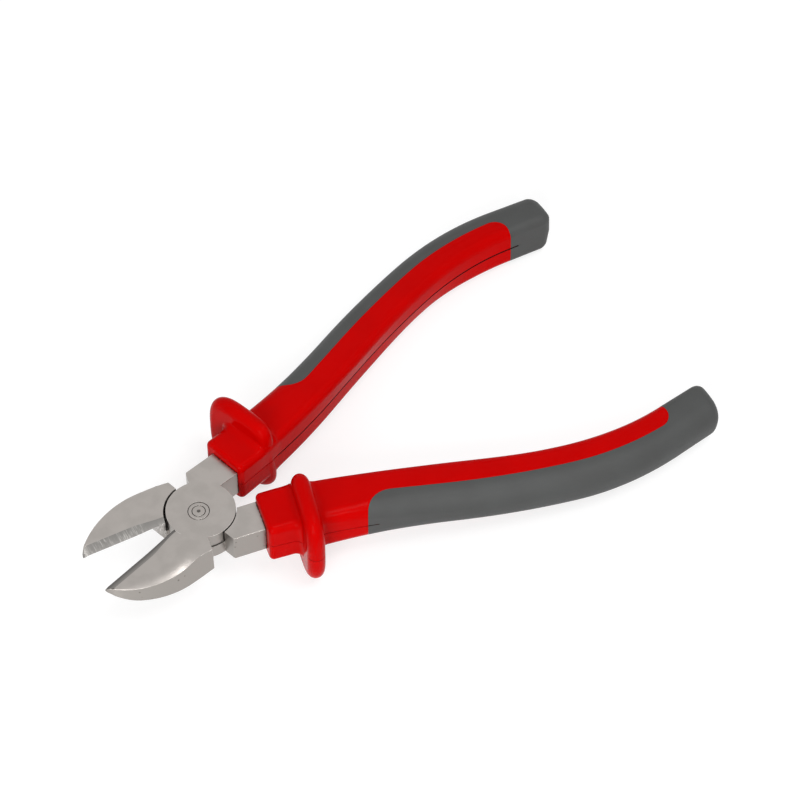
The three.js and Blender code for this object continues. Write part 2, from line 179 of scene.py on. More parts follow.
# Soft grip, a skin let into the sleeve, and the mould's parting line
GRIP_SKIN = 1.4
GRIP_START = {REAR_BODY: 25.7, FRONT_BODY: 24.7}
RED_PANEL_END = 105.4
GRIP_START_CORNER = 6.5
PANEL_END_CORNER = 4.0
SEAM_SHIFT = 0.55
SEAM_END_DROP = {REAR_BODY: 0.4, FRONT_BODY: 0.0}
SEAM_DROP_START = 72.0
PANEL_DRAFT = 0.1
PANEL_END_RUN = 1.0
SEAM_GAP = 0.05
PARTING_HALF_WIDTH = 0.16
INNER_PARTING_HALF_WIDTH = 0.23
PARTING_DEPTH = 0.2
PARTING_OVERRUN = 3.0
PARTING_FADE = 0.8
INNER_PARTING_END = RED_PANEL_END + PARTING_OVERRUN
OUTER_PARTING_END = GRIP_START[FRONT_BODY] + PARTING_OVERRUN

# Material slots past the first, on the steel pieces and on the handles
BEVEL_STEEL = 1
# The next two slots hold oiled steel painted dark as shade in the joint's and the pin's gaps.
JOINT_SHADE_STEEL = 2
PIN_SIDE_SHADE_STEEL = 1
# The crease slots carry painted shade in the parting grooves.
DARK_CREASE_SHADE = 1
FAINT_CREASE_SHADE = 2

# Facets
ROUND_SEGMENTS = 160
PIN_SEGMENTS = 96
CORNER_STEPS = 10
FACE_STEPS = 7
EDGE_STEPS = 4
JAW_STEP = 0.6
HANDLE_STEP = 1.2
TANG_STEP = 5.0
GUARD_SIDES = 96
RIM_STEPS = 20
SHARP_ANGLE = 32.0

# Colours
STEEL_COLOUR = (0.41, 0.381, 0.358)
STEEL_SHADE = (0.375, 0.349, 0.327)
# Upright steel walls painted darker than the tops: painted shade
STEEL_WALL_SHADE = (0.345, 0.322, 0.3)
PIT_COLOUR = (0.19, 0.175, 0.16)
# Edge colour for both wear and a painted highlight along the steel's edges
WORN_HIGHLIGHT_COLOUR = (0.66, 0.63, 0.6)
RESIDUE_COLOUR = (0.05, 0.035, 0.025)
# Painted shade of the rear jaw's bevel, under its lighter grinding marks
GROUND_BAND_SHADE = (0.25, 0.24, 0.228)
GROUND_LIGHT = (0.44, 0.427, 0.406)
# Painted shade on the front jaw's bevel, from its back to its edge
HONED_EDGE_SHADE = (0.12, 0.114, 0.108)
HONED_BACK_SHADE = (0.25, 0.237, 0.224)
# Painted shade for the oiled steel in the joint's gaps
JOINT_SHADE_COLOUR = (0.02, 0.019, 0.018)
RED_COLOUR = (0.515, 0.0004, 0.0003)
RED_SHADE = (0.485, 0.0004, 0.0003)
# Painted shade for the parting grooves: dark past the guard and on the grips, fainter elsewhere on the
# sleeves
PARTING_SHADE_DARK = (0.004, 0.002, 0.002)
PARTING_SHADE_RED = (0.02, 0.002, 0.002)
CREASE_SHADE_DARK = (0.3, 0.001, 0.001)
CREASE_SHADE_RED = (0.43, 0.001, 0.001)
GREY_COLOUR = (0.06, 0.062, 0.061)
GREY_SHADE = (0.054, 0.055, 0.054)
FLOOR_COLOUR = (0.86, 0.86, 0.86)
FLOOR_SHADE = (0.84, 0.84, 0.84)
FLOOR_SEEN = (0.36, 0.36, 0.36)
WHITE = (1.0, 1.0, 1.0, 1.0)

# Patterns: scales count features per millimetre, and pairs are the ends of a range
NOISE_DETAIL = 3.0
COARSE_DETAIL = 2.0
FINE_DETAIL = 4.0
MARKS_DETAIL = 5.0
NOISE_RANGE = (0.3, 0.7)
NOISE_CORE = (0.35, 0.65)
EASING_SAMPLES = 6
CLOUD_SCALE = 0.22
PIT_SCALE = 0.55
PIT_CHANCE = 0.65
PIT_RANGE = (0.05, 0.2)
PIT_RELIEF = 6.0
UPRIGHT_RANGE = (0.3, 0.7)
BRUSHING_STRETCH = (0.5, 5.0, 5.0)
BRUSHING_RANGE = (0.2, 0.8)
STEEL_ROUGHNESS = (0.28, 0.38)
STEEL_RELIEF = 0.006
STEEL_EASING = 0.12
RESIDUE_REACH = 0.75
RESIDUE_SCALE = 1.8
RESIDUE_RANGE = (0.02, 0.3)
WEAR_HIGHLIGHT_REACH = 0.22
WEAR_HIGHLIGHT_LIKENESS = (0.86, 0.99)
WEAR_HIGHLIGHT_SCALE = 1.1
WEAR_HIGHLIGHT_RANGE = (0.46, 0.58)
WEAR_HIGHLIGHT_START = 4.0
WEAR_HIGHLIGHT_FADE = 1.0
BEVEL_EASING = 0.08
GROUND_STRETCH = (4.0, 0.3, 0.3)
GROUND_RANGE = (0.48, 0.66)
GROUND_ROUGHNESS = (0.3, 0.5)
GROUND_RELIEF = 0.008
GROUND_PATCH_SCALE = 0.3
GROUND_PATCH_RANGE = (0.33, 0.55)
MARKS_START = 12.0
MARKS_END = 27.5
MARKS_FADE = 2.5
HONED_STRETCH = (2.4, 0.25, 0.25)
HONED_UNEVENNESS = 0.4
HONED_ROUGHNESS = (0.3, 0.45)
HONED_RELIEF = 0.006
STAIN_SCALE = 1.3
STAIN_ROUGHNESS = (0.5, 0.7)
JOINT_METALLIC = 0.6
RED_TONE_SCALE = 0.12
RED_GLOSS_SCALE = 1.6
RED_ROUGHNESS = (0.08, 0.13)
RED_WAVE_SCALE = 0.35
RED_RELIEF = 0.05
RED_SPECULAR = 0.022
CREASE_SHADE_SCALE = 0.8
CREASE_SHADE_ROUGHNESS = (0.5, 0.7)
CREASE_SHADE_SPECULAR = 0.05
GREY_TONE_SCALE = 0.1
GREY_GRAIN_SCALE = 4.5
GREY_ROUGHNESS = (0.5, 0.62)
GREY_RELIEF = 0.02
GREY_SPECULAR = 0.32
FLOOR_SPECKLE_SCALE = 0.05
FLOOR_ROUGHNESS = 0.9

# Camera, solved from the picture, in an 800 by 800 frame
IMAGE_SIZE = 800
FOCAL_PIXELS = 2825.24
SENSOR_WIDTH = 36.0
CLIP_START = 10.0
CLIP_END = 50000.0
CAMERA_AZIMUTH = -32.583
CAMERA_ELEVATION = 51.571
CAMERA_ROLL = 0.553
CAMERA_DISTANCE = 702.83
CAMERA_AIM = (59.401, 3.278, HEAD_THICKNESS)

# Floor and light; powers are in watts
FLOOR_SIZE = 8000.0
FLOOR_GAP = 0.03
FLOOR_GLOW = (0.71, 1.0)
FLOOR_GLOW_REACH = (150.0, 1500.0)
SLOPE_ROUNDS = 6
BACKLIGHT_DIRECTION = (0.36, 0.3, 0.884)
BACKLIGHT_SPREAD = (0.55, 0.93)
SIDE_TO_BACKLIGHT = (0.24, 1.02)
LAMPS = {
    "key": {"azimuth": -136.0, "elevation": 25.0, "distance": 900.0, "size": 600.0, "power": 5.5},
    "overhead": {"azimuth": -70.0, "elevation": 67.0, "distance": 700.0, "size": 300.0, "power": 1.25},
    "spark": {"azimuth": -92.0, "elevation": 38.0, "distance": 900.0, "size": 30.0, "power": 0.4},
}


def lerp(start, end, share):
    return start + (end - start) * share


def clamp(value, low=0.0, high=1.0):
    return min(max(value, low), high)


def smooth(value, low, high):
    share = clamp((value - low) / (high - low))
    return share * share * (3 - 2 * share)


def evenly(start, end, step):
    count = max(1, round(abs(end - start) / step))
    return list(np.linspace(start, end, count + 1))


# Meshes


def mesh_object(name, points, faces, face_materials=None):
    mesh = bpy.data.meshes.new(name)
    mesh.from_pydata([tuple(point) for point in points], [], faces)
    if face_materials is not None:
        mesh.polygons.foreach_set("material_index", face_materials)
    mesh.update()
    made = bpy.data.objects.new(name, mesh)
    bpy.context.scene.collection.objects.link(made)
    return made


def loft(name, sections, strips=(), strip_material=0):
    """A closed skin over rings with equal numbers of points, anticlockwise seen from the far end.

    The strips named get another material."""
    ring = len(sections[0])
    points = np.concatenate(sections)
    last = len(points) - ring
    faces = []
    materials = []
    for start in range(0, last, ring):
        for here in range(ring):
            there = (here + 1) % ring
            faces.append((start + here, start + there, start + ring + there, start + ring + here))
            materials.append(strip_material if here in strips else 0)
    faces.append(tuple(reversed(range(ring))))
    faces.append(tuple(range(last, last + ring)))
    materials += [0, 0]
    return mesh_object(name, points, faces, materials)


def lathe(name, profile, segments, centre=(0.0, 0.0), dark_strips=()):
    """A closed body of revolution; the profile runs anticlockwise and closes on itself or on the axis.

    The strips named get the pin side's steel, painted dark as shade in the gaps."""
    points = []
    rings = []
    for radius, height in profile:
        count = segments if radius > 0 else 1
        rings.append(range(len(points), len(points) + count))
        for turn in np.arange(count) * (2 * math.pi / segments):
            across = centre[0] + radius * math.cos(turn)
            points.append((across, centre[1] + radius * math.sin(turn), height))
    on_axis = profile[0][0] == 0 or profile[-1][0] == 0
    pairs = list(zip(rings, rings[1:] if on_axis else rings[1:] + rings[:1]))
    faces = []
    materials = []
    for strip, (low, high) in enumerate(pairs):
        materials += [PIN_SIDE_SHADE_STEEL if strip in dark_strips else 0] * segments
        for here in range(segments):
            there = (here + 1) % segments
            low_edge = [low[here % len(low)], low[there % len(low)]]
            high_edge = [high[there % len(high)], high[here % len(high)]]
            faces.append(tuple(dict.fromkeys(low_edge + high_edge)))
    return mesh_object(name, points, faces, materials)


def boolean(target, tool, operation):
    """Joins or cuts target with tool, and uses the tool up."""
    modifier = target.modifiers.new(operation.lower(), "BOOLEAN")
    modifier.operation = operation
    modifier.solver = "MANIFOLD"
    modifier.object = tool
    graph = bpy.context.evaluated_depsgraph_get()
    result = bpy.data.meshes.new_from_object(target.evaluated_get(graph))
    target.modifiers.clear()
    target.data = result
    bpy.data.objects.remove(tool)
    return target


def place(piece, node, body):
    """Turns a piece drawn shut into its lever's stance, in metres, ties it to its body and hides the part
    node it stands in for.
    """
    side = 1 if body == REAR_BODY else -1
    turn = math.radians(JAW_OPENING / 2) * side
    mesh = piece.data
    mesh.transform(Matrix.Rotation(turn, 4, "Z") @ Matrix.Diagonal((MM, MM * side, MM, 1)))
    if side < 0:
        mesh.flip_normals()
    mesh.shade_smooth()
    mesh.set_sharp_from_angle(angle=math.radians(SHARP_ANGLE))
    piece.modifiers.new("weighted_normals", "WEIGHTED_NORMAL").keep_sharp = True
    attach(piece, body)
    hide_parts(node)


# Outlines


def quarter(centre_u, centre_v, radius, start, steps=CORNER_STEPS):
    angles = start + np.linspace(0, math.pi / 2, steps + 1)
    return np.column_stack([centre_u + radius * np.cos(angles), centre_v + radius * np.sin(angles)])


def crowned_face(start, end, level, crown):
    """The points between two corners of a face that bulges a little."""
    shares = np.linspace(0, 1, FACE_STEPS + 1)[1:-1]
    bulge = level + crown * 4 * shares * (1 - shares)
    return np.column_stack([lerp(start, end, shares), bulge])


def parting_points(side, inward, depth, half):
    """The three points of a parting groove in a side wall."""
    return np.array([[side, -half], [side + inward * depth, 0.0], [side, half]])


def rounded_section(
        inner, outer, half, inner_radius, outer_radius, inner_depth=0.0, outer_depth=0.0, crown=0.0):
    """A rectangle with its own corner radius on each side, and a parting groove half way up each side."""
    top_from, top_to = outer - outer_radius, inner + inner_radius
    return np.concatenate([
        parting_points(outer, -1, outer_depth, PARTING_HALF_WIDTH),
        quarter(top_from, half - outer_radius, outer_radius, 0.0),
        crowned_face(top_from, top_to, half, crown),
        quarter(top_to, half - inner_radius, inner_radius, math.pi / 2),
        parting_points(inner, 1, inner_depth, INNER_PARTING_HALF_WIDTH)[::-1],
        quarter(top_to, inner_radius - half, inner_radius, math.pi),
        crowned_face(top_to, top_from, -half, -crown),
        quarter(top_from, outer_radius - half, outer_radius, -math.pi / 2),
    ])


# Handle centreline


def centreline(distance):
    """Place and heading at a distance along the handle; it runs on straight past both ends."""
    point = np.array([HANDLE_START_X, HANDLE_START_Y])
    heading = math.radians(HANDLE_START_SLOPE)
    left = distance
    for length, turn in HANDLE_ARCS:
        run = min(left, length)
        if run <= 0:
            break
        angle = math.radians(turn) * run / length
        chord = run * np.sinc(angle / (2 * math.pi))
        middle = heading + angle / 2
        point = point + chord * np.array([math.cos(middle), math.sin(middle)])
        heading += angle
        left -= run
    point = point + left * np.array([math.cos(heading), math.sin(heading)])
    return point, heading


def section_at(distance, outline, along=0.0):
    """Points (outward, up) beside the centreline, square to it and moved on along it."""
    (x, y), heading = centreline(distance)
    outline = np.asarray(outline)
    outward, up = outline[:, 0], outline[:, 1]
    cos, sin = math.cos(heading), math.sin(heading)
    lift = TAIL_LIFT * smooth(distance, HANDLE_LENGTH / 2, HANDLE_LENGTH)
    return np.column_stack([
        x + along * cos - outward * sin,
        y + along * sin + outward * cos,
        MID_HEIGHT + lift + up,
    ])


# Steel levers


def boss_half_width(x):
    return math.sqrt(BOSS_RADIUS ** 2 - (x - BOSS_SHIFT) ** 2)


def jaw_width(reach, which):
    if reach <= JAW_SHOULDER_X[which] - JAW_SHOULDER_RUN:
        return boss_half_width(-reach)
    if reach < JAW_FLAT_END:
        return JAW_WIDTH[which]
    along = reach - JAW_FLAT_END
    sweep = JAW_WIDTH[which] - JAW_SWEEP_RADIUS + math.sqrt(JAW_SWEEP_RADIUS ** 2 - along ** 2)
    to_tip = min(1.0, (JAW_LENGTH - reach) / NOSE_LENGTH)
    return sweep * lerp(1 - NOSE_NARROWING, 1, math.sqrt(to_tip))


def jaw_section(reach, which):
    """Bevel, top, crown, wall and back of a jaw; only the front jaw's top is crowned and its wall leans."""
    width = jaw_width(reach, which)
    offset = EDGE_OFFSET[which]
    top = HEAD_THICKNESS - max(0.0, reach - JAW_TOP_SLOPE_START) * math.tan(math.radians(JAW_TOP_SLOPE))
    top -= NOSE_DROP * (1 - math.sqrt(min(1.0, (JAW_LENGTH - reach) / NOSE_LENGTH)))
    back = max(0.0, reach - JAW_BACK_SLOPE_START) * math.tan(math.radians(JAW_BACK_SLOPE))
    back += NOSE_LIFT * clamp(1 - (JAW_LENGTH - reach) / NOSE_LIFT_RUN) ** 2
    full_bevel = lerp(BEVEL_ROOT_WIDTH[which], BEVEL_WIDTH[which], smooth(reach, THROAT_ROOT, BEVEL_FULL))
    edge = max(top - BEVEL_SLOPE * full_bevel, lerp(back, top, TIP_EDGE_LEVEL))
    bevel = min(full_bevel, width * TIP_BEVEL_SHARE)
    throat = clamp((reach - THROAT_ROOT) / (EDGE_ROOT - THROAT_ROOT))
    full_back_bevel = (edge - back) * math.tan(math.radians(BACK_BEVEL_ANGLE))
    back_bevel = throat * min(full_back_bevel, width * TIP_BEVEL_SHARE)
    shoulder = JAW_SHOULDER_X[which]
    full_lean = WALL_LEAN[which] * smooth(reach, shoulder - JAW_SHOULDER_RUN, shoulder + LEAN_RUN)
    lean = min(full_lean, width * ROUND_SHARE)
    crown_width = max(min(CROWN_WIDTH, (width - lean - bevel) * ROUND_SHARE), NECK_EDGE)
    full_drop = CROWN_DROP[which] * smooth(reach, shoulder, shoulder + CROWN_RUN)
    crown_drop = full_drop * crown_width / CROWN_WIDTH
    curve = np.linspace(0, 1, CROWN_STEPS + 1)
    crown = np.column_stack([
        crown_width * (1 - curve) + lean - width,
        top - crown_drop * curve ** 2,
    ])
    back_round = min(JAW_BACK_ROUND, (width - back_bevel) * ROUND_SHARE, (top - back) * ROUND_SHARE)
    outline = np.concatenate([
        [[-offset, edge], [-offset - bevel, top]],
        crown,
        quarter(back_round - width, back + back_round, back_round, math.pi),
        [[-offset - back_bevel, back]],
    ])
    return np.column_stack([np.full(len(outline), -reach), outline])


def jaw(which):
    nose = [JAW_LENGTH - NOSE_LENGTH * share for share in NOSE_STATIONS]
    shoulder_foot = JAW_SHOULDER_X[which] - JAW_SHOULDER_RUN
    reaches = [
        *nose,
        *evenly(JAW_LENGTH - NOSE_LENGTH, JAW_FLAT_END, JAW_STEP),
        *evenly(EDGE_ROOT, THROAT_ROOT, JAW_STEP),
        *evenly(JAW_TOP_SLOPE_START, JAW_SHOULDER_X[which], JAW_STEP),
        shoulder_foot,
        shoulder_foot / 2,
    ]
    return loft("jaw", [jaw_section(reach, which) for reach in reaches], (0,), BEVEL_STEEL)


def inset(outline, amount):
    """A convex outline drawn in by an amount, side by side."""
    points = np.asarray(outline)
    before = points - np.roll(points, 1, axis=0)
    after = np.roll(points, -1, axis=0) - points

    def inward(edges):
        lengths = np.linalg.norm(edges, axis=1, keepdims=True)
        return np.column_stack([-edges[:, 1], edges[:, 0]]) / lengths

    first, second = inward(before), inward(after)
    miter = (first + second) / (1 + np.sum(first * second, axis=1, keepdims=True))
    return points + amount * miter


def rounded_outline(corners, radius):
    """A convex polygon with its corners rounded."""
    corners = [np.array(corner) for corner in corners]
    points = []
    for index, corner in enumerate(corners):
        back = corners[index - 1] - corner
        ahead = corners[(index + 1) % len(corners)] - corner
        back, ahead = back / np.linalg.norm(back), ahead / np.linalg.norm(ahead)
        for share in np.linspace(0, 1, EDGE_STEPS + 1):
            points.append(corner + radius * (back * (1 - share) ** 2 + ahead * share ** 2))
    return np.array(points)


def rounded_slab(name, outline, low, high, edge):
    """A slab with its upper and lower rims rounded."""
    lower = []
    upper = []
    for angle in np.linspace(0, math.pi / 2, EDGE_STEPS + 1):
        ring = inset(outline, edge * (1 - math.sin(angle)))
        rise = edge * (1 - math.cos(angle))
        lower.append(np.column_stack([ring, np.full(len(ring), low + rise)]))
        upper.append(np.column_stack([ring, np.full(len(ring), high - rise)]))
    return loft(name, lower + upper[::-1])


def neck():
    end = HANDLE_START_X + CUT_OVERRUN
    corners = [
        (NECK_FOOT_X, boss_half_width(NECK_FOOT_X)),
        (BOSS_RADIUS / 2, NECK_INNER),
        (end, NECK_INNER),
        (end, NECK_OUTER),
        (NECK_SHOULDER_X, NECK_OUTER),
    ]
    return rounded_slab("neck", rounded_outline(corners, NECK_CORNER), 0.0, HEAD_THICKNESS, NECK_EDGE)


def tang(margin):
    end = HANDLE_LENGTH - TANG_TO_HANDLE_END
    sections = []
    for distance in evenly(-CUT_OVERRUN, end + margin, TANG_STEP):
        share = clamp(distance / end)
        shift = TANG_SHIFT * (1 - smooth(distance, 0, TANG_SHIFT_RUN))
        half_width = lerp(TANG_WIDTH, TANG_END_WIDTH, share) / 2 + margin
        half_height = lerp(TANG_HEIGHT, TANG_END_HEIGHT, share) / 2 + margin
        corner = TANG_CORNER + margin
        outline = rounded_section(-half_width - shift, half_width - shift, half_height, corner, corner)
        sections.append(section_at(distance, outline))
    return loft("tang", sections)


def plain_cylinder(name, radius, low, high, segments, centre=(0.0, 0.0)):
    return lathe(name, [(0.0, low), (radius, low), (radius, high), (0.0, high)], segments, centre)


def edged_profile(radius, low, high, edge):
    """A disc's profile with both rims rounded."""
    lower = quarter(radius - edge, low + edge, edge, -math.pi / 2, EDGE_STEPS)
    upper = quarter(radius - edge, high - edge, edge, 0.0, EDGE_STEPS)
    return [(0.0, low), *map(tuple, lower), *map(tuple, upper), (0.0, high)]


def lever(which, steels):
    """One forging; the front jaw's has the upper half disc, and the rear jaw's has the lower one."""
    turn = -math.radians(JAW_OPENING)
    recess_shift = BOSS_SHIFT + RECESS_SHIFT
    recess_centre = (recess_shift * math.cos(turn), recess_shift * math.sin(turn))
    below, above = -CUT_OVERRUN, HEAD_THICKNESS + CUT_OVERRUN
    if which == FRONT_JAW:
        recess_heights = (below, MID_HEIGHT + LAP_GAP / 2)
        seat_heights = (HEAD_THICKNESS - COLLAR_DEPTH - PIN_GAP, above)
    else:
        recess_heights = (MID_HEIGHT - LAP_GAP / 2, above)
        seat_heights = (below, RIVET_HEAD_DEPTH + PIN_GAP)
    disc = edged_profile(BOSS_RADIUS, 0.0, HEAD_THICKNESS, BOSS_EDGE)
    body = lathe("lever", disc, ROUND_SEGMENTS, (BOSS_SHIFT, 0.0))
    for material in steels:
        body.data.materials.append(material)
    for addition in (jaw(which), neck(), tang(0.0)):
        boolean(body, addition, "UNION")
    recess = plain_cylinder("recess", BOSS_RADIUS + BOSS_GAP, *recess_heights, ROUND_SEGMENTS, recess_centre)
    bore = plain_cylinder("bore", RIVET_RADIUS + PIN_GAP, below, above, PIN_SEGMENTS)
    seat = plain_cylinder("seat", COLLAR_RADIUS + PIN_GAP, *seat_heights, PIN_SEGMENTS)
    # The recess, bore and seat walls get the oiled steel painted dark as shade.
    for tool in (recess, bore, seat):
        tool.data.polygons.foreach_set("material_index", [JOINT_SHADE_STEEL] * len(tool.data.polygons))
        boolean(body, tool, "DIFFERENCE")
    return body


# Pivot


def pivot_rivet():
    head = quarter(RIVET_HEAD_RADIUS - PIN_EDGE, PIN_EDGE, PIN_EDGE, -math.pi / 2, EDGE_STEPS)
    shank = quarter(RIVET_RADIUS - PIN_EDGE, HEAD_THICKNESS - PIN_EDGE, PIN_EDGE, 0.0, EDGE_STEPS)
    profile = [
        (0.0, 0.0),
        *map(tuple, head),
        (RIVET_HEAD_RADIUS, RIVET_HEAD_DEPTH),
        (RIVET_RADIUS, RIVET_HEAD_DEPTH),
        *map(tuple, shank),
        (DIMPLE_RADIUS, HEAD_THICKNESS),
        (0.0, HEAD_THICKNESS - DIMPLE_DEPTH),
    ]
    shank_strip = len(head) + 2
    dimple_strip = len(profile) - 2
    return lathe("rivet", profile, PIN_SEGMENTS, dark_strips=(shank_strip, dimple_strip))


def rivet_collar():
    bore = RIVET_RADIUS + PIN_GAP
    seat = HEAD_THICKNESS - COLLAR_DEPTH
    level = HEAD_THICKNESS - PIN_EDGE
    outer = quarter(COLLAR_RADIUS - PIN_EDGE, level, PIN_EDGE, 0.0, EDGE_STEPS)
    inner = quarter(bore + PIN_EDGE, level, PIN_EDGE, math.pi / 2, EDGE_STEPS)
    profile = [(bore, seat), (COLLAR_RADIUS, seat), *map(tuple, outer), *map(tuple, inner)]
    rim_strip = 1
    bore_strip = len(profile) - 1
    return lathe("collar", profile, PIN_SEGMENTS, dark_strips=(rim_strip, bore_strip))


# Handles


def drawn_in(radius, from_end):
    """How far a rounded end of this radius has drawn in at a distance from the end."""
    left = clamp(radius - from_end, 0.0, radius)
    return radius - math.sqrt(radius ** 2 - left ** 2)


def arc_distances(radius):
    return [radius * (1 - math.sin(angle)) for angle in np.linspace(math.pi / 2, 0, CORNER_STEPS + 1)]


def parting_depth(distance, end):
    return PARTING_DEPTH * (1 - smooth(distance, end - PARTING_FADE, end))


def handle_section(distance, skin, side, end):
    """The handle's outline at a distance, drawn in by a skin, with its rounded ends and parting grooves."""
    change = smooth(distance, 0, SECTION_CHANGE_RUN)
    taper = smooth(distance, TAPER_START, HANDLE_LENGTH)
    fillet = drawn_in(GUARD_FILLET, abs(distance - GUARD_AT) - GUARD_THICKNESS / 2)
    ends = drawn_in(SLEEVE_MOUTH_ROUND, distance + SLEEVE_MOUTH_LEAD[side])
    ends += drawn_in(HANDLE_END_ROUND, end - distance)
    flare = MOUTH_FLARE * (1 - smooth(distance, GUARD_AT / 2, GUARD_AT))
    swell = fillet + flare - skin - ends
    top_swell = fillet * GUARD_TOP_FILLET_SHARE - skin - ends
    inner_swell = -skin - ends
    half_width = lerp(lerp(SLEEVE_FRONT_WIDTH, HANDLE_WIDTH, change), TAIL_WIDTH, taper) / 2
    half_height = lerp(lerp(SLEEVE_FRONT_HEIGHT, HANDLE_HEIGHT, change), TAIL_HEIGHT, taper) / 2
    half_height += top_swell
    inner_corner = max(lerp(FRONT_CORNER, INNER_CORNER, change) + top_swell, LEAST_CORNER)
    outer_corner = max(lerp(FRONT_CORNER, OUTER_CORNER, change) + top_swell, LEAST_CORNER)
    outline = rounded_section(
        -half_width - inner_swell, half_width + swell, half_height, inner_corner, outer_corner,
        parting_depth(distance, INNER_PARTING_END), parting_depth(distance, OUTER_PARTING_END), FACE_CROWN)
    lean_walls(outline, distance, half_width, half_height)
    slant = smooth(distance, HANDLE_LENGTH - TAIL_TILT_RUN, HANDLE_LENGTH)
    onward = slant * (TAIL_TILT[side] * np.minimum(outline[:, 1], 0.0) - TAIL_TURN[side] * outline[:, 0])
    return section_at(distance, outline, onward)


def swelling(distance, amount, middle, run):
    """A smooth swelling by an amount, fading out over a run on both sides of its middle."""
    return amount * (1 - smooth(abs(distance - middle), 0.0, run))


def lean_walls(outline, distance, half_width, half_height):
    """Leans the inner wall along the handle, and the whole section near its end."""
    flare = min(distance / GUARD_AT, 1 - smooth(distance, GUARD_AT, GUARD_AT + GUARD_FLARE_END))
    upper = swelling(distance, UPPER_LEAN, UPPER_LEAN_AT, UPPER_LEAN_RUN) + GUARD_FLARE * flare
    lower = swelling(distance, LOWER_LEAN, LOWER_LEAN_AT, LOWER_LEAN_RUN)
    tail = TAIL_LEAN * smooth(distance, TAIL_LEAN_START, TAIL_LEAN_END)
    inwards = np.clip(-outline[:, 0] / half_width, 0.0, 1.0)
    height = outline[:, 1] / half_height
    outline[:, 0] += height * (tail - inwards * np.where(height > 0, upper, lower))


def handle_body(skin, side):
    """The whole handle without its guard, drawn in by a skin."""
    end = HANDLE_LENGTH - skin
    mouth = [offset - SLEEVE_MOUTH_LEAD[side] for offset in arc_distances(SLEEVE_MOUTH_ROUND)]
    fillet = [GUARD_THICKNESS / 2 + offset for offset in arc_distances(GUARD_FILLET)]
    tail = [end - offset for offset in arc_distances(HANDLE_END_ROUND)][::-1]
    stations = [
        *mouth[:-1],
        *evenly(mouth[-1], GUARD_AT - fillet[-1], HANDLE_STEP)[:-1],
        *[GUARD_AT - offset for offset in fillet][::-1],
        GUARD_AT,
        *[GUARD_AT + offset for offset in fillet],
        *evenly(GUARD_AT + fillet[-1], tail[0], HANDLE_STEP)[1:-1],
        *tail,
    ]
    body = loft("handle", [handle_section(distance, skin, side, end) for distance in stations])
    if skin == 0:
        mark_parting(body, stations)
    return body


def mark_parting(body, stations):
    """Gives the parting grooves their painted-shade material as far as they run."""
    ring = len(body.data.vertices) // len(stations)
    inner = ring // 2
    for face in range(len(stations) - 1):
        if stations[face + 1] <= INNER_PARTING_END:
            crease = DARK_CREASE_SHADE if stations[face] > GUARD_AT else FAINT_CREASE_SHADE
            body.data.polygons[face * ring + inner].material_index = crease
            body.data.polygons[face * ring + inner + 1].material_index = crease
        if stations[face + 1] <= OUTER_PARTING_END:
            body.data.polygons[face * ring].material_index = FAINT_CREASE_SHADE
            body.data.polygons[face * ring + 1].material_index = FAINT_CREASE_SHADE


def guard_outline(rim):
    """The oval drawn in by the rim's rounding: squarer on the inner side, with both parting grooves."""
    turns = np.linspace(0, 2 * math.pi, GUARD_SIDES, endpoint=False)
    cos, sin = np.cos(turns), np.sin(turns)
    outside = cos > 0
    power = np.where(outside, 2 / GUARD_OUTER_SQUARENESS, 2 / GUARD_INNER_SQUARENESS)
    outer_reach, inner_reach = GUARD_OUTER_REACH - rim, GUARD_INNER_REACH - rim
    across = np.where(outside, outer_reach, inner_reach) * np.sign(cos) * np.abs(cos) ** power
    up = (GUARD_HEIGHT / 2 - rim) * np.sign(sin) * np.abs(sin) ** power
    oval = np.column_stack([across, up])
    half = GUARD_SIDES // 2
    outer = parting_points(outer_reach, -1, PARTING_DEPTH, PARTING_HALF_WIDTH)
    inner = parting_points(-inner_reach, 1, PARTING_DEPTH, INNER_PARTING_HALF_WIDTH)[::-1]
    return np.concatenate([outer, oval[1:half], inner, oval[half + 1:]]) + [GUARD_SHIFT, 0.0]


def guard():
    """The finger guard; its lower inner corner is swept back."""
    half = GUARD_THICKNESS / 2
    sections = []
    for angle in np.linspace(0, math.pi, RIM_STEPS + 1):
        outline = guard_outline(half * (1 - math.sin(angle)))
        inwards = np.clip(outline[:, 0] / (GUARD_SHIFT - GUARD_INNER_REACH), 0.0, 1.0)
        downwards = np.clip(outline[:, 1] / (-GUARD_HEIGHT / 2), 0.0, 1.0)
        along = GUARD_SWEEP * inwards * downwards - half * math.cos(angle)
        sections.append(section_at(GUARD_AT, outline, along))
    inner = len(sections[0]) // 2
    return loft("guard", sections, (0, 1, inner, inner + 1), FAINT_CREASE_SHADE)


